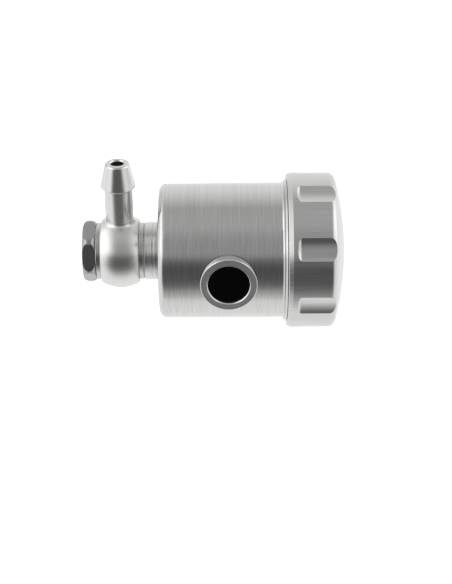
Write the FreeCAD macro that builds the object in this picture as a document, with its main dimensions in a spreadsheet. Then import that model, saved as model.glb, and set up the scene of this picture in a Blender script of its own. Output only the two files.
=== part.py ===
# Brake fluid reservoir: a turned aluminium cup with a scalloped screw cap, a sight glass and a banjo union.
# It stands as it is used, cap up. The origin is the middle of the flat base face round the neck,
# the sight glass looks along -Y and the hose tail points along -X. All lengths are millimetres.
import FreeCAD
import Part
import Sketcher

import math
import os
import re

SIZES = {
    # Turned cup
    "body_diameter": 34.1,
    "wall_thickness": 4.0,
    "floor_thickness": 6.0,
    "floor_corner_radius": 1.5,
    "base_edge_radius": 1.75,
    "shoulder_height": 31.98,
    "collar_step": 0.65,
    "groove_depth": 0.1,
    "groove_width": 0.12,
    "bead_rise": 0.4,
    "bead_width": 0.6,
    "bead_land": 0.1,
    # Screw thread for the cap, kept as plain cylinders
    "thread_inset": 0.25,
    "thread_depth": 0.75,
    "thread_neck": 7.6,
    "thread_clearance": 0.15,
    "rim_chamfer": 0.5,
    # Neck and tapped port under the cup
    "neck_diameter": 14.6,
    "neck_length": 3.85,
    "neck_chamfer": 0.3,
    "port_diameter": 9.5,
    # Tapped holes in the base face, which fasten the cup
    "bracket_circle": 23.5,
    "bracket_hole": 3.3,
    "bracket_hole_count": 4,
    "bracket_hole_web": 1.0,
    # Sight glass in the side wall
    "sight_height": 17.45,
    "sight_spot_depth": 1.7,
    "sight_shoulder": 1.0,
    "spot_clearance": 0.1,
    "window_diameter": 10.35,
    "window_chamfer": 0.22,
    "lens_overlap": 0.6,
    "lens_thickness": 2.6,
    "gasket_thickness": 0.7,
    "gasket_width": 1.2,
    "bezel_lip": 0.7,
    "bezel_skirt": 0.5,
    "bezel_seat_width": 0.7,
    "bezel_edge_radius": 0.3,
    "fit_clearance": 0.05,
    # Rubber diaphragm and slip ring under the cap
    "flange_thickness": 1.5,
    "slip_thickness": 1.2,
    "slip_width": 4.2,
    "ring_clearance": 0.1,
    "bellows_gap": 1.0,
    "bellows_depth": 15.0,
    "bellows_folds": 3,
    "fold_depth": 1.6,
    "fold_radius": 0.35,
    "rubber_wall": 1.0,
    # Screw cap
    "cap_wall": 2.65,
    "cap_gap": 0.1,
    "cap_taper_height": 1.15,
    "cap_taper_inset": 0.36,
    "cap_edge_radius": 0.25,
    "crown_thickness": 4.32,
    "crown_edge_radius": 2.05,
    "dome_rise": 2.8,
    "scallop_count": 8,
    "scallop_depth": 0.71,
    "scallop_radius": 8.3,
    "scallop_corner": 1.4,
    "scallop_start": 1.98,
    "cap_rest_angle": 16.6,
    # Banjo union with its hose tail
    "ball_diameter": 18.65,
    "banjo_width": 9.55,
    "banjo_edge_radius": 0.3,
    "banjo_clearance": 0.1,
    "stem_diameter": 7.05,
    "stem_fillet": 1.1,
    "tail_reach": 24.6,
    "barb_diameter": 8.8,
    "barb_length": 6.25,
    "barb_back": 0.6,
    "barb_edge_radius": 0.2,
    "tip_diameter": 6.0,
    "tip_edge_radius": 0.6,
    "tail_bore": 3.2,
    "tail_lip": 0.3,
    # Hollow banjo bolt and its two crush washers
    "bolt_diameter": 10.0,
    "bolt_end_gap": 1.0,
    "bolt_end_chamfer": 0.8,
    "hex_width": 14.0,
    "hex_height": 3.3,
    "hex_corner_cut": 0.18,
    "hex_chamfer": 0.21,
    "hex_chamfer_angle": 47.0,
    "hex_turn": 45.0,
    "waist_diameter": 8.0,
    "waist_length": 6.5,
    "bolt_bore": 4.5,
    "cross_bore": 3.5,
    "washer_diameter": 14.4,
    "washer_bore": 10.3,
    "washer_thickness": 1.25,
    "washer_edge_radius": 0.2,
}

# How near an edge lies to the ring it is looked for at
EDGE_TOLERANCE = 1e-3

doc = FreeCAD.newDocument("brake_fluid_reservoir")
sheet = doc.addObject("Spreadsheet::Sheet", "Sizes")
for row, (alias, size) in enumerate(SIZES.items(), start=1):
    sheet.set(f"A{row}", alias)
    sheet.set(f"B{row}", str(size))
    sheet.setAlias(f"B{row}", alias)
doc.recompute()

# Radii and levels that several pieces share, worked out from the sheet
BODY_R = "(body_diameter / 2)"
CHAMBER_R = f"({BODY_R} - wall_thickness)"
COLLAR_R = f"({BODY_R} + collar_step)"
CAP_THREAD_R = f"({BODY_R} - thread_inset)"
ROOT_R = f"({CAP_THREAD_R} - thread_depth)"
CAP_BORE_R = f"({CAP_THREAD_R} + thread_clearance)"
CAP_R = f"({CAP_BORE_R} + cap_wall)"
RIM_Z = "(shoulder_height + thread_neck)"
SLIP_Z = f"({RIM_Z} + flange_thickness)"
CEILING_Z = f"({SLIP_Z} + slip_thickness)"
CAP_Z = "(shoulder_height + cap_gap)"
FLANGE_R = f"({ROOT_R} - ring_clearance)"
PORT_R = "(port_diameter / 2)"
LENS_R = "(window_diameter / 2 + lens_overlap)"
LENS_POCKET_R = f"({LENS_R} + fit_clearance)"
BEZEL_SKIRT_R = f"({LENS_POCKET_R} + bezel_skirt)"
SIGHT_HOLE_R = f"({BEZEL_SKIRT_R} + fit_clearance)"
BEZEL_R = f"({SIGHT_HOLE_R} + bezel_seat_width)"
SIGHT_SEAT = f"({BODY_R} - sight_spot_depth)"
SIGHT_SHOULDER = f"({CHAMBER_R} + sight_shoulder)"
LENS_BACK = f"({SIGHT_SHOULDER} + gasket_thickness)"
LENS_FRONT = f"({LENS_BACK} + lens_thickness)"
BEZEL_BACK = f"({SIGHT_SHOULDER} + fit_clearance)"
BALL_R = "(ball_diameter / 2)"
BANJO_BORE_R = "(bolt_diameter / 2 + banjo_clearance)"
BANJO_TOP = "(neck_length + washer_thickness)"
BOLT_BOTTOM = f"({BANJO_TOP} + banjo_width + washer_thickness + hex_height)"


def tied(text):
    """An expression in which every alias names its cell of the sheet."""
    return re.sub(r"[a-z_]+", lambda word: f"Sizes.{word[0]}" if word[0] in SIZES else word[0], text)


def number(text):
    """What an expression comes to now."""
    return float(sheet.evalExpression(tied(text)))


def new_body(label):
    body = doc.addObject("PartDesign::Body", label)
    body.Label = label
    return body


def origin_feature(body, role):
    return next(feature for feature in body.Origin.OriginFeatures if feature.Role == role)


def new_sketch(body, name, plane, shift):
    """A sketch on an origin plane, moved by three expressions in the plane's own axes."""
    sketch = body.newObject("Sketcher::SketchObject", name)
    sketch.AttachmentSupport = [(origin_feature(body, plane), "")]
    sketch.MapMode = "FlatFace"
    for axis, text in zip("xyz", shift):
        if text != "0":
            sketch.setExpression(f"AttachmentOffset.Base.{axis}", tied(text))
    return sketch


def pin_point(sketch, side, end, place):
    """Ties one end of a sketch side to two expressions measured from the sketch's origin."""
    for kind, axis_line, text in (("DistanceX", -2, place[0]), ("DistanceY", -1, place[1])):
        if text == "0":
            sketch.addConstraint(Sketcher.Constraint("PointOnObject", side, end, axis_line))
        else:
            index = sketch.addConstraint(Sketcher.Constraint(kind, -1, 1, side, end, number(text)))
            sketch.setExpression(f"Constraints[{index}]", tied(text))


def arc_between(start, end, radius, turn):
    """The shorter arc from start to end; turn is 1 for anticlockwise and -1 for clockwise."""
    chord = end - start
    rise = math.sqrt(max(radius ** 2 - (chord.Length / 2) ** 2, 0.0))
    normal = FreeCAD.Vector(-chord.y, chord.x, 0).normalize()
    centre = (start + end) * 0.5 + normal * rise * turn
    first, last = (start, end) if turn > 0 else (end, start)
    angles = [math.atan2(point.y - centre.y, point.x - centre.x) for point in (first, last)]
    circle = Part.Circle(centre, FreeCAD.Vector(0, 0, 1), radius)
    return Part.ArcOfCircle(circle, *angles)


def outline(body, name, corners, arcs=None, plane="XZ_Plane", shift=("0", "0", "0")):
    """A closed sketch through corners of two expressions each.

    Side number n runs from corner n to the next. It is straight, or an arc if arcs gives it (radius, turn).
    """
    arcs = arcs or {}
    sketch = new_sketch(body, name, plane, shift)
    points = [FreeCAD.Vector(number(x), number(y), 0) for x, y in corners]
    ends = []
    for side, start in enumerate(points):
        end = points[(side + 1) % len(points)]
        if side in arcs:
            radius, turn = arcs[side]
            sketch.addGeometry(arc_between(start, end, number(radius), turn), False)
            ends.append((1, 2) if turn > 0 else (2, 1))
        else:
            sketch.addGeometry(Part.LineSegment(start, end), False)
            ends.append((1, 2))
    for side in range(len(points)):
        after = (side + 1) % len(points)
        sketch.addConstraint(Sketcher.Constraint("Coincident", side, ends[side][1], after, ends[after][0]))
        pin_point(sketch, side, ends[side][0], corners[side])
    for side, (radius, _) in arcs.items():
        index = sketch.addConstraint(Sketcher.Constraint("Radius", side, number(radius)))
        sketch.setExpression(f"Constraints[{index}]", tied(radius))
    return sketch


def circle_sketch(body, name, plane, shift, radius, centre=("0", "0")):
    """A sketch of one circle whose radius and centre are expressions."""
    sketch = new_sketch(body, name, plane, shift)
    middle = FreeCAD.Vector(number(centre[0]), number(centre[1]), 0)
    sketch.addGeometry(Part.Circle(middle, FreeCAD.Vector(0, 0, 1), number(radius)), False)
    index = sketch.addConstraint(Sketcher.Constraint("Radius", 0, number(radius)))
    sketch.setExpression(f"Constraints[{index}]", tied(radius))
    if centre == ("0", "0"):
        sketch.addConstraint(Sketcher.Constraint("Coincident", 0, 3, -1, 1))
    else:
        pin_point(sketch, 0, 3, centre)
    return sketch


def feature_of(body, kind, name, sketch, **settings):
    """A feature made from a sketch. One that takes material away has to leave less than there was."""
    removes = kind in ("Pocket", "Groove")
    before = body.Shape.Volume if removes else 0.0
    feature = body.newObject(f"PartDesign::{kind}", name)
    feature.Profile = sketch
    for setting, content in settings.items():
        if isinstance(content, str) and setting in ("Length", "Angle"):
            feature.setExpression(setting, tied(content))
        else:
            setattr(feature, setting, content)
    body.Tip = feature
    doc.recompute()
    if removes and not body.Shape.Volume < before - 1e-6:
        raise ValueError(f"{name} of {body.Label} cuts nothing")
    return feature


def turned(body, name, sketch, kind="Revolution", axis="V_Axis"):
    """A full turn of a sketch about one of the sketch's own axes."""
    return feature_of(body, kind, name, sketch, ReferenceAxis=(sketch, [axis]), Angle=360.0)


def round_pattern(body, name, feature, count):
    """Copies of a feature spaced evenly round the body's own Z axis."""
    pattern = body.newObject("PartDesign::PolarPattern", name)
    pattern.Originals = [feature]
    pattern.Axis = (origin_feature(body, "Z_Axis"), [""])
    pattern.Angle = 360.0
    pattern.setExpression("Occurrences", tied(count))
    body.Tip = pattern
    doc.recompute()
    return pattern


def rings(shape, spots, axis=FreeCAD.Vector(0, 0, 1), origin=FreeCAD.Vector(0, 0, 0)):
    """Names of the edges that run round an axis at one of the given (radius, height) spots."""
    names = []
    for index, edge in enumerate(shape.Edges, start=1):
        if edge.Degenerated:
            continue
        offsets = [point - origin for point in edge.discretize(5)]
        heights = [offset.dot(axis) for offset in offsets]
        radii = [(offset - axis * height).Length for offset, height in zip(offsets, heights)]
        for radius, height in spots:
            strays = [abs(r - radius) for r in radii] + [abs(h - height) for h in heights]
            if max(strays) < EDGE_TOLERANCE:
                names.append(f"Edge{index}")
                break
    return names


def soften(body, kind, name, edges, size):
    """A fillet or a chamfer on named edges of the body's tip."""
    if not edges:
        raise ValueError(f"{name} of {body.Label} finds no edge")
    base = body.Tip
    feature = body.newObject(f"PartDesign::{kind}", name)
    feature.Base = (base, edges)
    feature.setExpression("Radius" if kind == "Fillet" else "Size", tied(size))
    body.Tip = feature
    doc.recompute()
    return feature


def soften_rings(body, kind, name, spots, size, **frame):
    """The same on circular edges given as pairs of radius and height expressions."""
    places = [(number(radius), number(height)) for radius, height in spots]
    return soften(body, kind, name, rings(body.Tip.Shape, places, **frame), size)


def put(body, z, turn=None):
    """Places a body on the Z axis at a height, turned about Z by an angle in degrees if one is given."""
    body.setExpression("Placement.Base.z", tied(z))
    if turn:
        body.setExpression("Placement.Rotation.Angle", tied(turn))
    doc.recompute()


# Turned cup with its collar, thread neck, side port, tapped neck and the tapped holes of its base
# Heights here are above the end of the neck
reservoir = new_body("reservoir_body")
BASE = "neck_length"
BEAD_FOOT = f"({BASE} + shoulder_height - bead_width)"
COLLAR_EDGE = f"({BEAD_FOOT} - groove_width)"
GROOVE_R = f"({COLLAR_R} - groove_depth)"
BEAD_R = f"({GROOVE_R} + bead_rise)"
cup_corners = [
    (PORT_R, "0"),
    ("neck_diameter / 2", "0"),
    ("neck_diameter / 2", BASE),
    (BODY_R, BASE),
    (BODY_R, f"{COLLAR_EDGE} - collar_step"),
    (COLLAR_R, COLLAR_EDGE),
    (GROOVE_R, BEAD_FOOT),
    (BEAD_R, f"{BASE} + shoulder_height - bead_land"),
    (BEAD_R, f"{BASE} + shoulder_height"),
    (ROOT_R, f"{BASE} + shoulder_height"),
    (ROOT_R, f"{BASE} + {RIM_Z}"),
    (CHAMBER_R, f"{BASE} + {RIM_Z}"),
    (CHAMBER_R, f"{BASE} + floor_thickness"),
    (PORT_R, f"{BASE} + floor_thickness"),
]
turned(reservoir, "cup", outline(reservoir, "cup_outline", cup_corners, {4: ("collar_step", -1)}))
soften_rings(reservoir, "Fillet", "base_edge", [(BODY_R, BASE)], "base_edge_radius")
soften_rings(
    reservoir, "Fillet", "floor_corner", [(CHAMBER_R, f"{BASE} + floor_thickness")], "floor_corner_radius"
)
soften_rings(reservoir, "Chamfer", "neck_edge", [("neck_diameter / 2", "0")], "neck_chamfer")
soften_rings(reservoir, "Chamfer", "rim_edge", [(ROOT_R, f"{BASE} + {RIM_Z}")], "rim_chamfer")

# The flat spot, the tapped pocket and the port of the sight glass, each cut from outside towards the axis
SIGHT_LEVEL = f"{BASE} + sight_height"
spot = circle_sketch(
    reservoir, "sight_spot_circle", "XZ_Plane", ("0", SIGHT_LEVEL, SIGHT_SEAT), f"{BEZEL_R} + spot_clearance"
)
feature_of(reservoir, "Pocket", "sight_spot", spot, Type="ThroughAll", Reversed=True)
pocket = circle_sketch(
    reservoir, "sight_pocket_circle", "XZ_Plane", ("0", SIGHT_LEVEL, SIGHT_SEAT), SIGHT_HOLE_R
)
feature_of(reservoir, "Pocket", "sight_pocket", pocket, Length=f"{SIGHT_SEAT} - {SIGHT_SHOULDER}")
port = circle_sketch(
    reservoir, "sight_port_circle", "XZ_Plane", ("0", SIGHT_LEVEL, SIGHT_SHOULDER), f"{LENS_R} - gasket_width"
)
feature_of(reservoir, "Pocket", "sight_port", port, Length=SIGHT_SHOULDER)

# Four tapped holes on a circle, halfway between the axes
HOLE_OFFSET = "bracket_circle / 2 * cos(45)"
hole = circle_sketch(
    reservoir, "bracket_hole_circle", "XY_Plane", ("0", "0", BASE), "bracket_hole / 2",
    (HOLE_OFFSET, HOLE_OFFSET),
)
hole_cut = feature_of(
    reservoir, "Pocket", "bracket_hole", hole, Length="floor_thickness - bracket_hole_web", Reversed=True
)
round_pattern(reservoir, "bracket_holes", hole_cut, "bracket_hole_count")
put(reservoir, "-neck_length")

# Rubber diaphragm: a flange clamped on the rim and a cup of folds that hangs into the fluid
# Heights here are above the bottom of the cup
diaphragm = new_body("diaphragm")
CREST_R = f"({CHAMBER_R} - bellows_gap)"
FOLD_STEP = "(bellows_depth / (2 * bellows_folds))"
fold_levels = range(2 * SIZES["bellows_folds"] + 1)


def fold_corner(level, inset):
    """A corner of the folds: crests at even levels and roots at odd ones, moved in by a wall."""
    depth = " - fold_depth" if level % 2 else ""
    return (f"{CREST_R}{depth}{inset}", f"{FOLD_STEP} * {level}" if level else "0")


FLOOR_TOP_R = f"{CREST_R} - rubber_wall - fold_depth * rubber_wall / {FOLD_STEP}"
outer_folds = [fold_corner(level, "") for level in fold_levels]
inner_folds = [fold_corner(level, " - rubber_wall") for level in reversed(fold_levels) if level]
diaphragm_corners = [("0", "0")] + outer_folds + [
    (FLANGE_R, "bellows_depth"),
    (FLANGE_R, "bellows_depth + flange_thickness"),
    (f"{CREST_R} - rubber_wall", "bellows_depth + flange_thickness"),
] + inner_folds + [(FLOOR_TOP_R, "rubber_wall"), ("0", "rubber_wall")]
turned(diaphragm, "bellows", outline(diaphragm, "bellows_outline", diaphragm_corners))
soften_rings(diaphragm, "Fillet", "fold_edges", outer_folds[:-1] + inner_folds[1:], "fold_radius")
put(diaphragm, f"{RIM_Z} - bellows_depth")


def flat_ring(label, outer, inner, thickness, z, edge=None):
    """A flat turned ring that lies on the Z axis at a height, with its four edges broken if edge is given."""
    body = new_body(label)
    corners = [(inner, "0"), (outer, "0"), (outer, thickness), (inner, thickness)]
    turned(body, "ring", outline(body, "ring_outline", corners))
    if edge:
        soften_rings(body, "Fillet", "ring_edges", corners, edge)
    put(body, z)
    return body


# Slip ring held in the top of the cap, which lets the cap turn on the diaphragm without dragging it
SLIP_R = f"({CAP_BORE_R} - ring_clearance)"
slip_ring = flat_ring("slip_ring", SLIP_R, f"{SLIP_R} - slip_width", "slip_thickness", SLIP_Z)

# Screw cap: a domed cup with scallops milled down its side
# Heights here are above its lower edge
cap = new_body("cap")
CAP_HEIGHT = f"({CEILING_Z} + crown_thickness - {CAP_Z})"
CAP_SIDE = f"({CAP_HEIGHT} - dome_rise)"
CAP_FOOT_R = f"({CAP_R} - cap_taper_inset)"
cap_corners = [
    (CAP_BORE_R, "0"),
    (CAP_FOOT_R, "0"),
    (CAP_R, "cap_taper_height"),
    (CAP_R, CAP_SIDE),
    ("0", CAP_HEIGHT),
    ("0", f"{CEILING_Z} - {CAP_Z}"),
    (CAP_BORE_R, f"{CEILING_Z} - {CAP_Z}"),
]
DOME_RADIUS = f"(({CAP_R} ^ 2 + dome_rise ^ 2) / (2 * dome_rise))"
turned(cap, "shell", outline(cap, "shell_outline", cap_corners, {3: (DOME_RADIUS, 1)}))
soften_rings(cap, "Fillet", "crown_edge", [(CAP_R, CAP_SIDE)], "crown_edge_radius")
soften_rings(cap, "Fillet", "lower_edge", [(CAP_FOOT_R, "0")], "cap_edge_radius")

# Each scallop is the path of a round-nosed cutter that stands beside the cap and leaves over its crown
cutter_corners = [
    ("0", "scallop_start"),
    ("scallop_radius - scallop_corner", "scallop_start"),
    ("scallop_radius", "scallop_start + scallop_corner"),
    ("scallop_radius", CAP_HEIGHT),
    ("0", CAP_HEIGHT),
]
cutter = outline(
    cap, "cutter_outline", cutter_corners, {1: ("scallop_corner", 1)},
    shift=(f"{CAP_R} - scallop_depth + scallop_radius", "0", "0"),
)
scallop = turned(cap, "scallop", cutter, "Groove")
round_pattern(cap, "scallops", scallop, "scallop_count")
put(cap, CAP_Z, "cap_rest_angle")


def facing_sight(body, distance):
    """Turns a body's own Z axis to -Y at the sight glass, at a distance from the reservoir's axis."""
    body.Placement.Rotation = FreeCAD.Rotation(FreeCAD.Vector(1, 0, 0), 90)
    body.setExpression("Placement.Base.y", tied(f"-{distance}"))
    body.setExpression("Placement.Base.z", tied("sight_height"))
    doc.recompute()


# Gasket on the shoulder of the sight port
gasket = new_body("sight_gasket")
gasket_corners = [
    (f"{LENS_R} - gasket_width", "0"),
    (LENS_R, "0"),
    (LENS_R, "gasket_thickness"),
    (f"{LENS_R} - gasket_width", "gasket_thickness"),
]
turned(gasket, "ring", outline(gasket, "ring_outline", gasket_corners))
facing_sight(gasket, SIGHT_SHOULDER)

# Glass disc on the gasket
glass = new_body("sight_glass")
glass_corners = [("0", "0"), (LENS_R, "0"), (LENS_R, "lens_thickness"), ("0", "lens_thickness")]
turned(glass, "disc", outline(glass, "disc_outline", glass_corners))
facing_sight(glass, LENS_BACK)

# Screwed bezel that clamps the glass: a skirt in the pocket, a flange on the flat spot and a lip over the glass
# Heights here are above the inner end of the skirt
bezel = new_body("sight_bezel")
BEZEL_SEAT = f"({SIGHT_SEAT} - {BEZEL_BACK})"
BEZEL_POCKET = f"({LENS_FRONT} - {BEZEL_BACK})"
BEZEL_FACE = f"({BEZEL_POCKET} + bezel_lip)"
bezel_corners = [
    (LENS_POCKET_R, "0"),
    (BEZEL_SKIRT_R, "0"),
    (BEZEL_SKIRT_R, BEZEL_SEAT),
    (BEZEL_R, BEZEL_SEAT),
    (BEZEL_R, BEZEL_FACE),
    ("window_diameter / 2 + window_chamfer", BEZEL_FACE),
    ("window_diameter / 2", f"{BEZEL_FACE} - window_chamfer"),
    ("window_diameter / 2", BEZEL_POCKET),
    (LENS_POCKET_R, BEZEL_POCKET),
]
turned(bezel, "ring", outline(bezel, "ring_outline", bezel_corners))
soften_rings(bezel, "Fillet", "face_edge", [(BEZEL_R, BEZEL_FACE)], "bezel_edge_radius")
facing_sight(bezel, BEZEL_BACK)

# Crush washer between the neck and the banjo
neck_washer = flat_ring(
    "neck_washer", "washer_diameter / 2", "washer_bore / 2", "washer_thickness", f"-{BANJO_TOP}",
    "washer_edge_radius",
)

# Banjo union: a ball with two flats, bored for the bolt, with a barbed hose tail
# Heights here are above its lower flat, and the tail points along the body's own X axis
banjo = new_body("banjo_fitting")
FLAT_R = f"sqrt({BALL_R} ^ 2 - (banjo_width / 2) ^ 2)"
ball_corners = [(BANJO_BORE_R, "0"), (FLAT_R, "0"), (FLAT_R, "banjo_width"), (BANJO_BORE_R, "banjo_width")]
turned(banjo, "ball", outline(banjo, "ball_outline", ball_corners, {1: (BALL_R, 1)}))
soften_rings(banjo, "Fillet", "flat_edges", [(FLAT_R, "0"), (FLAT_R, "banjo_width")], "banjo_edge_radius")

TAIL_SHIFT = ("0", "banjo_width / 2", "0")
TAIL_ROOT = f"(({BANJO_BORE_R} + {BALL_R}) / 2)"
BARB_START = "(tail_reach - barb_length)"
tail_corners = [
    (TAIL_ROOT, "0"),
    ("tail_reach", "0"),
    ("tail_reach", "tip_diameter / 2"),
    (BARB_START, "barb_diameter / 2"),
    (f"{BARB_START} - barb_back", "stem_diameter / 2"),
    (TAIL_ROOT, "stem_diameter / 2"),
]
tail = outline(banjo, "tail_outline", tail_corners, shift=TAIL_SHIFT)
turned(banjo, "tail", tail, axis="H_Axis")
tail_frame = {
    "axis": FreeCAD.Vector(1, 0, 0),
    "origin": FreeCAD.Vector(0, 0, number("banjo_width / 2")),
}
STEM_FOOT = f"sqrt({BALL_R} ^ 2 - (stem_diameter / 2) ^ 2)"
soften_rings(banjo, "Fillet", "stem_foot", [("stem_diameter / 2", STEM_FOOT)], "stem_fillet", **tail_frame)
soften_rings(
    banjo, "Fillet", "barb_edge", [("barb_diameter / 2", BARB_START)], "barb_edge_radius", **tail_frame
)
soften_rings(banjo, "Fillet", "tip_edge", [("tip_diameter / 2", "tail_reach")], "tip_edge_radius", **tail_frame)
bore_corners = [
    ("0", "0"),
    ("tail_reach", "0"),
    ("tail_reach", "tail_bore / 2 + tail_lip"),
    ("tail_reach - tail_lip", "tail_bore / 2"),
    ("0", "tail_bore / 2"),
]
tail_bore = outline(banjo, "tail_bore_outline", bore_corners, shift=TAIL_SHIFT)
turned(banjo, "tail_bore", tail_bore, "Groove", "H_Axis")
banjo.Placement.Rotation = FreeCAD.Rotation(FreeCAD.Vector(0, 0, 1), 180)
put(banjo, f"-({BANJO_TOP} + banjo_width)")

# Crush washer under the bolt's head
head_washer = flat_ring(
    "head_washer", "washer_diameter / 2", "washer_bore / 2", "washer_thickness",
    f"-({BANJO_TOP} + banjo_width + washer_thickness)", "washer_edge_radius",
)

# Hollow banjo bolt: a thin hexagon head, a waist for the fluid, a drilled shank and a threaded end in the port
# Heights here are above the outer face of the head
bolt = new_body("banjo_bolt")
hexagon = new_sketch(bolt, "hexagon", "XY_Plane", ("0", "0", "0"))
corner_radius = number("hex_width / 2 / cos(30)")
hex_points = [
    FreeCAD.Vector(math.cos(math.radians(60 * k)), math.sin(math.radians(60 * k)), 0) * corner_radius
    for k in range(6)
]
for k in range(6):
    hexagon.addGeometry(Part.LineSegment(hex_points[k], hex_points[(k + 1) % 6]), False)
for k in range(6):
    hexagon.addConstraint(Sketcher.Constraint("Coincident", k, 2, (k + 1) % 6, 1))
for k, (place_x, place_y) in enumerate([(1, 0), (0.5, 1), (-0.5, 1), (-1, 0), (-0.5, -1), (0.5, -1)]):
    along = f"{place_x} * hex_width / 2 / cos(30)"
    across = f"{place_y} * hex_width / 2" if place_y else "0"
    pin_point(hexagon, k, 1, (along, across))
feature_of(bolt, "Pad", "head", hexagon, Length="hex_height")

# The head's corners are turned down to a narrow land and then turned off at both faces
HEX_OUT_R = "(hex_width)"
HEX_LAND_R = "(hex_width / 2 / cos(30) - hex_corner_cut)"
land_corners = [(HEX_LAND_R, "0"), (HEX_OUT_R, "0"), (HEX_OUT_R, "hex_height"), (HEX_LAND_R, "hex_height")]
turned(bolt, "corner_lands", outline(bolt, "corner_land_outline", land_corners), "Groove")
HEX_FACE_R = "(hex_width / 2 - hex_chamfer)"
HEX_DROP = f"({HEX_OUT_R} - {HEX_FACE_R}) * tan(hex_chamfer_angle)"
for name, face, edge in (
    ("outer", "0", HEX_DROP),
    ("inner", "hex_height", f"hex_height - {HEX_DROP}"),
):
    corners = [(HEX_FACE_R, face), (HEX_OUT_R, face), (HEX_OUT_R, edge)]
    turned(bolt, f"{name}_corners", outline(bolt, f"{name}_corner_outline", corners), "Groove")

BANJO_FOOT = "(hex_height + washer_thickness)"
BANJO_MIDDLE = f"({BANJO_FOOT} + banjo_width / 2)"
THREAD_FOOT = f"({BANJO_FOOT} + banjo_width)"
BOLT_END = f"({BOLT_BOTTOM} + floor_thickness - bolt_end_gap)"
BOLT_THREAD_R = f"({PORT_R} - fit_clearance)"
WAIST_STEP = "(bolt_diameter / 2 - waist_diameter / 2)"
shank_corners = [
    ("0", "hex_height"),
    ("bolt_diameter / 2", "hex_height"),
    ("bolt_diameter / 2", f"{BANJO_MIDDLE} - waist_length / 2"),
    ("waist_diameter / 2", f"{BANJO_MIDDLE} - waist_length / 2 + {WAIST_STEP}"),
    ("waist_diameter / 2", f"{BANJO_MIDDLE} + waist_length / 2 - {WAIST_STEP}"),
    ("bolt_diameter / 2", f"{BANJO_MIDDLE} + waist_length / 2"),
    ("bolt_diameter / 2", THREAD_FOOT),
    (BOLT_THREAD_R, THREAD_FOOT),
    (BOLT_THREAD_R, f"{BOLT_END} - bolt_end_chamfer"),
    (f"{BOLT_THREAD_R} - bolt_end_chamfer", BOLT_END),
    ("0", BOLT_END),
]
turned(bolt, "shank", outline(bolt, "shank_outline", shank_corners))
bore_end = [
    ("0", BANJO_MIDDLE),
    ("bolt_bore / 2", BANJO_MIDDLE),
    ("bolt_bore / 2", BOLT_END),
    ("0", BOLT_END),
]
turned(bolt, "bore", outline(bolt, "bore_outline", bore_end), "Groove")
cross = circle_sketch(bolt, "cross_bore_circle", "YZ_Plane", ("0", BANJO_MIDDLE, "0"), "cross_bore / 2")
feature_of(bolt, "Pocket", "cross_bore", cross, Type="ThroughAll", Midplane=True)
put(bolt, f"-{BOLT_BOTTOM}", "hex_turn")

# Every object has to be sound, and every piece one valid solid, before anything is written
pieces = [
    reservoir, diaphragm, slip_ring, cap, gasket, glass, bezel, neck_washer, banjo, head_washer, bolt,
]
for thing in doc.Objects:
    if "Invalid" in thing.State or "Error" in thing.State:
        raise ValueError(f"{thing.Label} did not recompute")
for piece in pieces:
    if piece.Shape.isNull() or not piece.Shape.isValid() or len(piece.Shape.Solids) != 1:
        raise ValueError(f"{piece.Label} is not one valid solid")

os.makedirs("parts", exist_ok=True)
for piece in pieces:
    piece.Shape.exportStep(f"parts/{piece.Label}.step")
    box = piece.Shape.optimalBoundingBox()
    print(f"{piece.Label}: {piece.Shape.Volume:.1f} mm3, z {box.ZMin:.2f} to {box.ZMax:.2f}")
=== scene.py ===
"""A turned aluminium brake fluid reservoir with a screw cap, a sight glass and a banjo hose union."""

import math

import bmesh
import bpy
import numpy as np
from mathutils import Matrix, Vector


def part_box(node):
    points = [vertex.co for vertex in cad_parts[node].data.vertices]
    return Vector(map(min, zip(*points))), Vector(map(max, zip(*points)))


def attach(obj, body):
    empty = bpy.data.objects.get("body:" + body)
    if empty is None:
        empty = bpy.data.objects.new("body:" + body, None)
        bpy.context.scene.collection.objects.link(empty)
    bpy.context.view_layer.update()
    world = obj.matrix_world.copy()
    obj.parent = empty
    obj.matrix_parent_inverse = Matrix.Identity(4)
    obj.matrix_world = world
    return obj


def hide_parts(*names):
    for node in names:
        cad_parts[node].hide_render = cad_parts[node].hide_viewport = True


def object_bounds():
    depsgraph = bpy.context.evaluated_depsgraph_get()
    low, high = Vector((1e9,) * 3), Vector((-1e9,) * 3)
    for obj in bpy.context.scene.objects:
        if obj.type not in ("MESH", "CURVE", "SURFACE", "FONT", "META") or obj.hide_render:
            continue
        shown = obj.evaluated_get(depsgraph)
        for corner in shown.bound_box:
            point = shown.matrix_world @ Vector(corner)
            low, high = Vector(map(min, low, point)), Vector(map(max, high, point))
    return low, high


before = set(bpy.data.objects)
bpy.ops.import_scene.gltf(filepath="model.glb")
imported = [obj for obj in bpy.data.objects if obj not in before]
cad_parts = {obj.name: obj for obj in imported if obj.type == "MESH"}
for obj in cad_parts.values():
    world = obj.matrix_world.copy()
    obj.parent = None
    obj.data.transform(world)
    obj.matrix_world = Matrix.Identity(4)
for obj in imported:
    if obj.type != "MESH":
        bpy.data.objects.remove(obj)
cad_low, cad_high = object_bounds()


# Reservoir cup: turned from one bar of aluminium on a lathe, then clear anodised.
# The tool leaves fine rings round the wall and across the base, and the cap screws on the neck at its top.
# Brake fluid stands in the bore, and four tapped holes in the base fasten the cup.
MM = 0.001


def linear(hex_code):
    """An sRGB hex colour as linear RGBA."""
    parts = [int(hex_code[start : start + 2], 16) / 255 for start in (1, 3, 5)]
    return [part / 12.92 if part <= 0.04045 else ((part + 0.055) / 1.055) ** 2.4 for part in parts] + [1.0]


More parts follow.
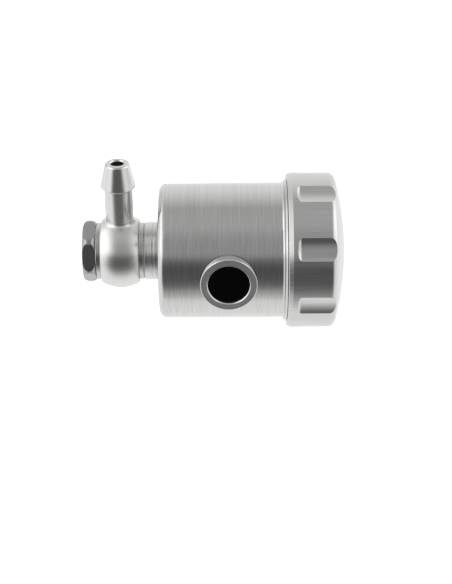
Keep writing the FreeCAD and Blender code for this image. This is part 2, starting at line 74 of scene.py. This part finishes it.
def add(tree, kind, inputs=None, stops=(), **settings):
    """One shader node: settings are its properties, and inputs its sockets, each a value or another's output.

    stops are the places of a ramp from 0 to 1, in rising order, each with a grey.
    """
    made = tree.nodes.new(kind)
    for name, content in settings.items():
        setattr(made, name, content)
    for name, content in (inputs or {}).items():
        if isinstance(content, bpy.types.NodeSocket):
            tree.links.new(content, made.inputs[name])
        else:
            made.inputs[name].default_value = content
    if stops:
        elements = made.color_ramp.elements
        while len(elements) < len(stops):
            elements.new(0.5)
        for element, (place, grey) in zip(elements, stops):
            element.position = place
            element.color = (grey, grey, grey, 1)
    return made


def new_material(name):
    """An empty node material and its tree."""
    material = bpy.data.materials.new(name)
    material.use_nodes = True
    material.node_tree.nodes.clear()
    return material, material.node_tree


def dress(node, material):
    """Gives a solid of the frame its finish."""
    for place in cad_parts[node].material_slots:
        place.material = material


def turned_lines(tree, spacing, run, axis="Z", centre=(0, 0, 0)):
    """Rings of a lathe tool: noise of the distance from the turning axis and of the place along it.

    spacing is the width of a ring and run the length over which it changes, both in millimetres.
    """
    place = add(tree, "ShaderNodeTexCoord")
    offset = add(tree, "ShaderNodeVectorMath", {0: place.outputs["Object"], 1: centre}, operation="SUBTRACT")
    keep = (1, 1, 0) if axis == "Z" else (1, 0, 1)
    across = add(tree, "ShaderNodeVectorMath", {0: offset.outputs["Vector"], 1: keep}, operation="MULTIPLY")
    radius = add(tree, "ShaderNodeVectorMath", {0: across.outputs["Vector"]}, operation="LENGTH")
    parts = add(tree, "ShaderNodeSeparateXYZ", {"Vector": offset.outputs["Vector"]})
    spun = add(tree, "ShaderNodeCombineXYZ", {
        "X": radius.outputs["Value"], "Y": parts.outputs[axis], "Z": parts.outputs["X"],
    })
    scaled = add(tree, "ShaderNodeMapping", {
        "Vector": spun.outputs["Vector"], "Scale": (1 / (spacing * MM), 1 / (spacing * MM), 1 / (run * MM)),
    })
    lines = add(tree, "ShaderNodeTexNoise", {
        "Vector": scaled.outputs["Vector"], "Scale": 1.0, "Detail": 3.0, "Roughness": 0.65,
    })
    return lines.outputs["Fac"]


# Tool lines change a metal's roughness by this share either way
GLOSS_SPREAD = 0.15


def bare_metal(name, tint, pattern, rough, grain, depth, stretch=0.0, turn=0.0):
    """A bare metal whose tool lines shade its colour and roughness a little and tilt its surface.

    grain is the share by which the lines shade it and depth their depth in millimetres.
    stretch and turn draw reflections out across the lines.
    """
    material, tree = new_material(name)
    lines = pattern(tree)
    usual_range = {"Value": lines, "From Min": 0.3, "From Max": 0.7}
    shade = add(tree, "ShaderNodeMapRange", {**usual_range, "To Min": 1 - grain, "To Max": 1 + grain})
    tinted = add(tree, "ShaderNodeVectorMath", {
        0: linear(tint)[:3], "Scale": shade.outputs["Result"],
    }, operation="SCALE")
    gloss = add(tree, "ShaderNodeMapRange", {
        **usual_range, "To Min": rough * (1 - GLOSS_SPREAD), "To Max": rough * (1 + GLOSS_SPREAD),
    })
    relief = add(tree, "ShaderNodeBump", {"Height": lines, "Strength": 1.0, "Distance": depth * MM})
    tangent = add(tree, "ShaderNodeTangent", direction_type="RADIAL", axis="Z")
    surface = add(tree, "ShaderNodeBsdfPrincipled", {
        "Base Color": tinted.outputs["Vector"], "Metallic": 1.0, "Roughness": gloss.outputs["Result"],
        "Anisotropic": stretch, "Anisotropic Rotation": turn,
        "Normal": relief.outputs["Normal"], "Tangent": tangent.outputs["Tangent"],
    })
    add(tree, "ShaderNodeOutputMaterial", {"Surface": surface.outputs["BSDF"]})
    return material


# Depths of the rings in millimetres, and the heights between which the cup's finish gives way to the neck's
# deeper rings and painted sheen
CUP_RING_DEPTH = 0.0015
NECK_RING_DEPTH = 0.24
NECK_START = -0.4 * MM
CUP_END = -0.2 * MM


def cup_rings_and_neck_sheen(tree):
    """Fine rings on the cup, and deeper unbroken ones on the neck under its base face, which is at z = 0. The
    neck's value lies far above the usual range, so its colour is held at its lightest there: a painted sheen.
    """
    place = add(tree, "ShaderNodeTexCoord")
    parts = add(tree, "ShaderNodeSeparateXYZ", {"Vector": place.outputs["Object"]})
    neck = add(tree, "ShaderNodeMapRange", {
        "Value": parts.outputs["Z"], "From Min": NECK_START, "From Max": CUP_END,
        "To Min": 1.0, "To Max": 0.0,
    })
    # On the neck this value lies far above 0.3 to 0.7, so the colour is held at its lightest there: a painted
    # sheen.
    deep_rings_and_sheen = add(tree, "ShaderNodeMath", {
        0: turned_lines(tree, spacing=0.6, run=60), 1: NECK_RING_DEPTH / CUP_RING_DEPTH,
    }, operation="MULTIPLY")
    both = add(tree, "ShaderNodeMix", {
        "Factor": neck.outputs["Result"], 2: turned_lines(tree, spacing=0.5, run=6), 3: deep_rings_and_sheen.outputs["Value"],
    })
    return both.outputs[0]


# Turned rings are about 0.1 mm apart; they are drawn at 0.5 mm, or 0.6 mm on the neck, so that they show.
# They read as fine streaks round the wall, and the bands of light on it stay crisp; the neck is painted a
# shade lighter, a painted sheen for what it mirrors of the base face.
turned_aluminium = bare_metal(
    "turned_aluminium", "#dadad9", cup_rings_and_neck_sheen,
    rough=0.2, grain=0.08, depth=CUP_RING_DEPTH, stretch=0.4, turn=0.25,
)
dress("reservoir_body", turned_aluminium)


# Thread of the cup's neck: a right-hand ridge of 1.5 mm pitch, cut in the same turning.
# It dies out at both ends, as a thread does where the tool leaves the work.
THREAD_PITCH = 1.5 * MM
THREAD_STEPS = 96
ROOT_HALF_WIDTH = 0.45 * MM
CREST_HALF_WIDTH = 0.12 * MM
RUN_OUT_TURNS = 1 / 3
THINNEST_SHARE = 0.05


def ring_faces(rows, columns):
    """Faces of a grid whose rows are closed rings: each joins two neighbours to the two in the next ring."""
    ring = np.arange(rows - 1)[:, None] * columns
    side = np.arange(columns)
    after = (side + 1) % columns
    corners = [ring + side, ring + after, ring + columns + after, ring + columns + side]
    return np.stack(corners, axis=-1).reshape(-1, 4)


def screw_ridge(name, foot, crest, low, high):
    """A screw ridge: a four-cornered profile carried up a helix that rises one pitch a turn.

    The profile grows out of the wall over the first third of a turn and dies back over the last.
    foot and crest are its radii, and low and high the heights of its two ends.
    """
    turns = (high - low) / THREAD_PITCH
    along = np.linspace(0, turns, int(turns * THREAD_STEPS) + 1)[:, None]
    swell = np.clip(np.minimum(along, turns - along) / RUN_OUT_TURNS, THINNEST_SHARE, 1)
    reach = np.array([0, 1, 1, 0])
    half_width = np.array([-ROOT_HALF_WIDTH, -CREST_HALF_WIDTH, CREST_HALF_WIDTH, ROOT_HALF_WIDTH])
    radius = foot + (crest - foot) * reach * swell
    height = low + along * THREAD_PITCH + half_width * swell
    angle = 2 * np.pi * along
    points = np.stack([radius * np.cos(angle), radius * np.sin(angle), height], axis=-1)
    last = (len(along) - 1) * 4
    ends = [[3, 2, 1, 0], [last, last + 1, last + 2, last + 3]]
    faces = np.vstack([ring_faces(len(along), 4), ends])
    mesh = bpy.data.meshes.new(name)
    mesh.from_pydata(points.reshape(-1, 3).tolist(), [], faces.tolist())
    shell = bmesh.new()
    shell.from_mesh(mesh)
    bmesh.ops.recalc_face_normals(shell, faces=shell.faces)
    shell.to_mesh(mesh)
    shell.free()
    mesh.shade_smooth()
    mesh.set_sharp_from_angle(angle=math.radians(30))
    ridge = bpy.data.objects.new(name, mesh)
    bpy.context.scene.collection.objects.link(ridge)
    return ridge


neck_thread = screw_ridge("neck_thread", foot=15.95 * MM, crest=16.75 * MM, low=32.6 * MM, high=38.9 * MM)
neck_thread.data.materials.append(turned_aluminium)
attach(neck_thread, "reservoir")

# Diaphragm: a bellows cup moulded in black EPDM rubber, which keeps air off the fluid.
# Its flange is clamped between the rim and the cap.
# Dusting powder in patches of about 1.5 mm leaves it matt and a little mottled.
POWDER_PATCH = 1.5 * MM
moulded_rubber, tree = new_material("moulded_rubber")
place = add(tree, "ShaderNodeTexCoord")
mottle = add(tree, "ShaderNodeTexNoise", {
    "Vector": place.outputs["Object"], "Scale": 1 / POWDER_PATCH, "Detail": 4.0, "Roughness": 0.6,
})
shade = add(tree, "ShaderNodeMix", {
    "Factor": mottle.outputs["Fac"], 6: linear("#161617"), 7: linear("#262627"),
}, data_type="RGBA")
gloss = add(tree, "ShaderNodeMapRange", {"Value": mottle.outputs["Fac"], "To Min": 0.5, "To Max": 0.75})
relief = add(tree, "ShaderNodeBump", {
    "Height": mottle.outputs["Fac"], "Strength": 0.2, "Distance": 0.03 * MM,
})
surface = add(tree, "ShaderNodeBsdfPrincipled", {
    "Base Color": shade.outputs[2], "Roughness": gloss.outputs["Result"], "IOR": 1.52,
    "Normal": relief.outputs["Normal"],
})
add(tree, "ShaderNodeOutputMaterial", {"Surface": surface.outputs["BSDF"]})
dress("diaphragm", moulded_rubber)

# Slip ring: a flat washer turned from natural nylon and snapped into the top of the cap.
# It lets the cap turn without dragging the diaphragm's flange.
# Nylon is milky, with soft turned rings; they are about 0.1 mm apart, drawn at 0.4 mm so that they show.
natural_nylon, tree = new_material("natural_nylon")
nylon_rings = turned_lines(tree, spacing=0.4, run=12)
shade = add(tree, "ShaderNodeMix", {
    "Factor": nylon_rings, 6: linear("#ddd8c8"), 7: linear("#ebe7da"),
}, data_type="RGBA")
relief = add(tree, "ShaderNodeBump", {"Height": nylon_rings, "Strength": 0.2, "Distance": 0.02 * MM})
surface = add(tree, "ShaderNodeBsdfPrincipled", {
    "Base Color": shade.outputs[2], "Roughness": 0.45, "IOR": 1.53, "Subsurface Weight": 0.15,
    "Subsurface Radius": (0.6 * MM, 0.5 * MM, 0.4 * MM), "Subsurface Scale": 1.0,
    "Normal": relief.outputs["Normal"],
})
add(tree, "ShaderNodeOutputMaterial", {"Surface": surface.outputs["BSDF"]})
dress("slip_ring", natural_nylon)


# Cap: turned from bar with a low dome, its eight scallops milled with a round-nosed cutter.
# It is brushed along its axis and clear anodised, and screws down on the neck.
def brushed_lines(tree, spacing, run):
    """Brush strokes along Z on the side, giving way to lathe rings where the surface faces up or down."""
    place = add(tree, "ShaderNodeTexCoord")
    drawn = add(tree, "ShaderNodeMapping", {
        "Vector": place.outputs["Object"], "Scale": (1 / (spacing * MM), 1 / (spacing * MM), 1 / (run * MM)),
    })
    strokes = add(tree, "ShaderNodeTexNoise", {
        "Vector": drawn.outputs["Vector"], "Scale": 1.0, "Detail": 3.0, "Roughness": 0.65,
    })
    facing = add(tree, "ShaderNodeSeparateXYZ", {"Vector": place.outputs["Normal"]})
    level = add(tree, "ShaderNodeMath", {0: facing.outputs["Z"]}, operation="ABSOLUTE")
    crown = add(tree, "ShaderNodeMapRange", {
        "Value": level.outputs["Value"], "From Min": 0.5, "From Max": 0.8,
    })
    both = add(tree, "ShaderNodeMix", {
        "Factor": crown.outputs["Result"], 2: strokes.outputs["Fac"], 3: turned_lines(tree, spacing, run),
    })
    return both.outputs[0]


# Brush strokes are under 0.1 mm wide; they are drawn at 0.4 mm so that they show.
# They soften the bands of light on the side, and the crown shows rings.
brushed_aluminium = bare_metal(
    "brushed_aluminium", "#dadad9", lambda tree: brushed_lines(tree, spacing=0.4, run=12),
    rough=0.22, grain=0.06, depth=0.003, stretch=0.2,
)
dress("cap", brushed_aluminium)
cap_thread = screw_ridge("cap_thread", foot=17.05 * MM, crest=16.2 * MM, low=33.35 * MM, high=38.6 * MM)
cap_thread.data.materials.append(brushed_aluminium)
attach(cap_thread, "cap")

# Sight glass: a polished disc of toughened glass on a rubber gasket, in a port in the cup's wall.
# The reservoir is empty and unlit; its dark inside is painted into the glass as painted shade, a near-black
# tint, so the glass shows only what it mirrors.
# Its specular tint keeps what it mirrors weaker than on plain glass, which is also painted shade.
dress("sight_gasket", moulded_rubber)
toughened_glass, tree = new_material("toughened_glass")
surface = add(tree, "ShaderNodeBsdfPrincipled", {
    # Painted shade: the near-black tint and the dimmed specular tint stand in for the dark inside of the
    # reservoir.
    "Base Color": linear("#1c2022"), "Roughness": 0.02, "Transmission Weight": 1.0, "IOR": 1.52,
    "Specular Tint": linear("#989898"),
})
add(tree, "ShaderNodeOutputMaterial", {"Surface": surface.outputs["BSDF"]})
dress("sight_glass", toughened_glass)

# Bezel: a screwed ring turned from aluminium, which clamps the glass on its gasket.
# Its rings run round the axis of the sight glass, and it is a shade duller than the cup.
# They are about 0.1 mm apart, drawn at 0.3 mm so that they show.
SIGHT_HEIGHT = 17.45 * MM
bezel_aluminium = bare_metal(
    "bezel_aluminium", "#e9e9e8",
    lambda tree: turned_lines(tree, spacing=0.3, run=8, axis="Y", centre=(0, 0, SIGHT_HEIGHT)),
    rough=0.3, grain=0.05, depth=0.003,
)
dress("sight_bezel", bezel_aluminium)

# Banjo union: a ball with a barbed hose tail, machined from aluminium and tumbled smooth.
# It is clamped between two soft crush washers, one under the neck and one on the bolt's head.
# Tumbling leaves dents of about 0.1 mm; they are drawn at 1.2 mm, as the soft haze that the eye sees.
HAZE_SIZE = 1.2 * MM
HAZE_SHARE = 0.25
TAIL_LEVEL = 0.2
BALL_LEVEL = 0.55
TAIL_START = -11 * MM
BALL_END = -9 * MM


def union_haze(tree):
    """The even haze of tumbling on the ball, which fades to the smoother tail that points along -X."""
    place = add(tree, "ShaderNodeTexCoord")
    haze = add(tree, "ShaderNodeTexNoise", {
        "Vector": place.outputs["Object"], "Scale": 1 / HAZE_SIZE, "Detail": 1.0,
    })
    parts = add(tree, "ShaderNodeSeparateXYZ", {"Vector": place.outputs["Object"]})
    ball = add(tree, "ShaderNodeMapRange", {
        "Value": parts.outputs["X"], "From Min": TAIL_START, "From Max": BALL_END,
        "To Min": TAIL_LEVEL, "To Max": BALL_LEVEL,
    })
    both = add(tree, "ShaderNodeMath", {
        0: haze.outputs["Fac"], 1: HAZE_SHARE, 2: ball.outputs["Result"],
    }, operation="MULTIPLY_ADD")
    return both.outputs["Value"]


tumbled_aluminium = bare_metal(
    "tumbled_aluminium", "#e6e6e4", union_haze, rough=0.265, grain=0.05, depth=0.0004
)
dress("banjo_fitting", tumbled_aluminium)

# The washers' turned rings are about 0.1 mm apart; they are drawn at 0.3 mm so that they show.
# Soft aluminium is a little greyer than the union, and its rings blur what it mirrors.
soft_aluminium = bare_metal(
    "soft_aluminium", "#d3d3d2", lambda tree: turned_lines(tree, spacing=0.3, run=6),
    rough=0.23, grain=0.06, depth=0.003, stretch=0.2, turn=0.25,
)
dress("neck_washer", soft_aluminium)
dress("head_washer", soft_aluminium)

# Banjo bolt: a hollow bolt of machined stainless steel, screwed into the neck through the union.
# The edge of its thin hexagon is turned round, so each flat is an oval; the shank is the solid's own.
# The steel is darker than the aluminium, with rings about 0.1 mm apart, drawn at 0.4 mm so that they show.
machined_steel = bare_metal(
    "machined_steel", "#aeafae", lambda tree: turned_lines(tree, spacing=0.4, run=5),
    rough=0.23, grain=0.06, depth=0.002, stretch=0.2, turn=0.25,
)
HEAD_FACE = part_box("banjo_bolt")[0].z
HEAD_HEIGHT = 3.3 * MM
HEAD_SEAT = HEAD_FACE + HEAD_HEIGHT
FACE_RADIUS = 6 * MM
FLAT_RADIUS = 7 * MM
FLAT_TURN = math.radians(15)
EDGE_START = 6.75 * MM
EDGE_REACH = 1.14 * MM
SHANK_RADIUS = 5 * MM
# The edge stops just short of its tip at the corners, so that its two halves stay apart
EDGE_TIP = 0.9999
# Points nearer than this are taken as one
MERGE_DISTANCE = 0.001 * MM


def rounded_hexagon(columns, steps):
    """A hexagon with a round edge, as rings of points from its face to its seat.

    The edge is half an ellipse: EDGE_START + EDGE_REACH * sin(t) across and half the height * cos(t) along.
    At each angle the ellipse stops where it is as far out as the hexagon, and the side is flat from there on.
    """
    angle = np.arange(columns) * (2 * np.pi / columns)
    off_flat = (angle - FLAT_TURN + np.pi / 6) % (np.pi / 3) - np.pi / 6
    hexagon = FLAT_RADIUS / np.cos(off_flat)
    crease = np.arcsin(np.clip((hexagon - EDGE_START) / EDGE_REACH, 0, EDGE_TIP))
    turn = np.linspace(0, 1, steps)[:, None] * crease
    radius = EDGE_START + EDGE_REACH * np.sin(turn)
    rise = HEAD_HEIGHT / 2 * np.cos(turn)
    middle = HEAD_FACE + HEAD_HEIGHT / 2
    radii = np.vstack([np.full(columns, FACE_RADIUS), radius, radius[::-1]])
    heights = np.vstack([np.full(columns, HEAD_FACE), middle - rise, middle + rise[::-1]])
    return np.stack([radii * np.cos(angle), radii * np.sin(angle), heights], axis=-1)


head_rings = rounded_hexagon(columns=240, steps=13)
rows, columns = head_rings.shape[:2]
head_mesh = bpy.data.meshes.new("bolt_head")
head_faces = ring_faces(rows, columns).tolist() + [list(range(columns))]
head_mesh.from_pydata(head_rings.reshape(-1, 3).tolist(), [], head_faces)
bolt_shell = bmesh.new()
bolt_shell.from_mesh(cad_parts["banjo_bolt"].data)
bmesh.ops.remove_doubles(bolt_shell, verts=bolt_shell.verts, dist=MERGE_DISTANCE)
plain_head = [
    face for face in bolt_shell.faces
    if max(corner.co.z for corner in face.verts) < HEAD_SEAT + MERGE_DISTANCE
    and max(corner.co.xy.length for corner in face.verts) > SHANK_RADIUS - MERGE_DISTANCE
]
bmesh.ops.delete(bolt_shell, geom=plain_head, context="FACES")
bolt_shell.from_mesh(head_mesh)
bmesh.ops.bridge_loops(bolt_shell, edges=[edge for edge in bolt_shell.edges if edge.is_boundary])
bmesh.ops.recalc_face_normals(bolt_shell, faces=bolt_shell.faces)
bolt_mesh = bpy.data.meshes.new("round_edged_bolt")
bolt_shell.to_mesh(bolt_mesh)
bolt_shell.free()
bpy.data.meshes.remove(head_mesh)
bolt_mesh.shade_smooth()
bolt_mesh.set_sharp_from_angle(angle=math.radians(15))
bolt_mesh.materials.append(machined_steel)
round_edged_bolt = bpy.data.objects.new("round_edged_bolt", bolt_mesh)
bpy.context.scene.collection.objects.link(round_edged_bolt)
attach(round_edged_bolt, "reservoir")
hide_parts("banjo_bolt")

# Camera: it looks square at the reservoir's axis, with the cap to the right of the picture.
# Its pixel scale, height and roll come from the outlines of the cup and the cap in the photograph.
PICTURE = (452, 584)
SIGHT_ANGLE = math.radians(28.6)
CAMERA_DISTANCE = 380 * MM
PIXEL = 0.2545 * MM
AXIS_PIXEL = 250.1
LOOK_HEIGHT = 16.75 * MM
ROLL = math.radians(0.33)
SENSOR_WIDTH = 36
to_camera = Vector((-math.sin(SIGHT_ANGLE), -math.cos(SIGHT_ANGLE), 0))
picture_right = Vector((0, 0, 1))
picture_up = to_camera.cross(picture_right)
focal_pixels = CAMERA_DISTANCE / PIXEL
dip = math.atan((PICTURE[1] / 2 - AXIS_PIXEL) / focal_pixels)
back = to_camera * math.cos(dip) + picture_up * math.sin(dip)
up = picture_up * math.cos(dip) - to_camera * math.sin(dip)
rolled_right = picture_right * math.cos(ROLL) - up * math.sin(ROLL)
rolled_up = up * math.cos(ROLL) + picture_right * math.sin(ROLL)
lens = bpy.data.cameras.new("camera")
lens.sensor_width = SENSOR_WIDTH
lens.lens = SENSOR_WIDTH * focal_pixels / PICTURE[1]
lens.clip_start = 10 * MM
camera = bpy.data.objects.new("camera", lens)
aim = Matrix((rolled_right, rolled_up, back)).transposed().to_4x4()
camera.matrix_world = Matrix.Translation(to_camera * CAMERA_DISTANCE + Vector((0, 0, LOOK_HEIGHT))) @ aim
bpy.context.scene.collection.objects.link(camera)
bpy.context.scene.camera = camera

# Floor: a plain white sheet just under the bolt's head, bright enough to read as white.
# It stays out of reflections, so the metal mirrors only the studio light.
FLOOR_HALF = 3.0
FLOOR_GAP = 0.02 * MM
floor_z = cad_low.z - FLOOR_GAP
corners = np.array([(-1, -1, 0), (1, -1, 0), (1, 1, 0), (-1, 1, 0)]) * FLOOR_HALF + (0, 0, floor_z)
floor_mesh = bpy.data.meshes.new("floor")
floor_mesh.from_pydata(corners.tolist(), [], [(0, 1, 2, 3)])
floor = bpy.data.objects.new("floor", floor_mesh)
floor.visible_glossy = False
bpy.context.scene.collection.objects.link(floor)
white_sheet, tree = new_material("white_sheet")
surface = add(tree, "ShaderNodeBsdfPrincipled", {
    "Base Color": linear("#f4f4f4"), "Roughness": 0.9,
    "Emission Color": linear("#ffffff"), "Emission Strength": 0.7,
})
add(tree, "ShaderNodeOutputMaterial", {"Surface": surface.outputs["BSDF"]})
floor_mesh.materials.append(white_sheet)

# Studio light: a white tent round the reservoir, greyer towards the camera, with a dark card low in front.
# Three lamps brighten its ends, two of them under the base and one over the cap.
# What lies behind the reservoir is plain white.
TENT = [
    (-180, 0.95), (-130, 0.9), (-98, 0.86), (-88, 0.62), (-78, 0.42), (-66, 0.36), (-10, 0.335), (0, 0.345),
    (15, 0.35), (24, 0.385), (36, 0.455), (55, 0.46), (76, 0.435), (84, 0.52), (95, 0.64), (107, 0.75),
    (119, 0.83), (150, 0.9), (180, 0.95),
]
CARD_GREY = 0.09
CARD_ROUND = [(-76, 0), (-64, 0.7), (-52, 0.93), (-34, 1), (-25, 0.93), (-16, 0.6), (-10, 0.05), (-5, 0)]
CARD_ALONG = [(-0.8, 0), (-0.5, 1), (0.5, 1), (0.8, 0)]
# Each lamp is its share along the axis and its brightness round the axis
LAMPS = [
    ([(-0.65, 1), (-0.3, 0)], [
        (-180, 0.95), (-60, 0.95), (-25, 1.2), (0, 1.5), (80, 1.5), (98, 1), (117, 0.7), (150, 0.6),
        (180, 0.95),
    ]),
    ([(-0.92, 1), (-0.75, 0)], [
        (-180, 1.1), (-150, 0.95), (-40, 0.95), (0, 1.4), (40, 1.4), (80, 1), (150, 0.9), (180, 1.1),
    ]),
    ([(0.45, 0), (0.75, 1)], [
        (-180, 1), (-110, 0.95), (-40, 0.85), (0, 0.85), (40, 1.3), (60, 1.45), (90, 1.45), (115, 1.1),
        (180, 1),
    ]),
]
BACKDROP_STRENGTH = 1.05
world = bpy.data.worlds.new("studio")
world.use_nodes = True
bpy.context.scene.world = world
tree = world.node_tree
tree.nodes.clear()
direction = add(tree, "ShaderNodeTexCoord")
faced = add(tree, "ShaderNodeMapping", {
    "Vector": direction.outputs["Generated"], "Rotation": (0, 0, math.atan2(-to_camera.y, to_camera.x)),
})
angle = add(tree, "ShaderNodeTexGradient", {"Vector": faced.outputs["Vector"]}, gradient_type="RADIAL")
parts = add(tree, "ShaderNodeSeparateXYZ", {"Vector": faced.outputs["Vector"]})
slant = add(tree, "ShaderNodeMapRange", {"Value": parts.outputs["Z"], "From Min": -1.0, "From Max": 1.0})


def round_axis(greys):
    """Greys of the tent by degrees round the axis from the camera, positive towards the picture's top."""
    stops = sorted((0.5 - degrees / 360, grey) for degrees, grey in greys)
    return add(tree, "ShaderNodeValToRGB", {"Fac": angle.outputs["Fac"]}, stops).outputs["Color"]


def along_axis(greys):
    """Greys of the tent along the axis, from -1 straight under the base to 1 straight over the cap."""
    stops = sorted((0.5 + height / 2, grey) for height, grey in greys)
    return add(tree, "ShaderNodeValToRGB", {"Fac": slant.outputs["Result"]}, stops).outputs["Color"]


lit = round_axis(TENT)
for lamp_along, lamp_round in LAMPS:
    lit = add(tree, "ShaderNodeMix", {
        "Factor": along_axis(lamp_along), 6: lit, 7: round_axis(lamp_round),
    }, data_type="RGBA").outputs[2]
card = add(tree, "ShaderNodeMath", {
    0: round_axis(CARD_ROUND), 1: along_axis(CARD_ALONG),
}, operation="MULTIPLY")
carded = add(tree, "ShaderNodeMix", {
    "Factor": card.outputs["Value"], 6: lit, 7: (CARD_GREY, CARD_GREY, CARD_GREY, 1),
}, data_type="RGBA")
light = add(tree, "ShaderNodeBackground", {"Color": carded.outputs[2]})
backdrop = add(tree, "ShaderNodeBackground", {"Color": (1, 1, 1, 1), "Strength": BACKDROP_STRENGTH})
ray = add(tree, "ShaderNodeLightPath")
either = add(tree, "ShaderNodeMixShader", {
    "Fac": ray.outputs["Is Camera Ray"], 1: light.outputs["Background"], 2: backdrop.outputs["Background"],
})
add(tree, "ShaderNodeOutputWorld", {"Surface": either.outputs["Shader"]})
bpy.context.scene.view_settings.view_transform = "Standard"
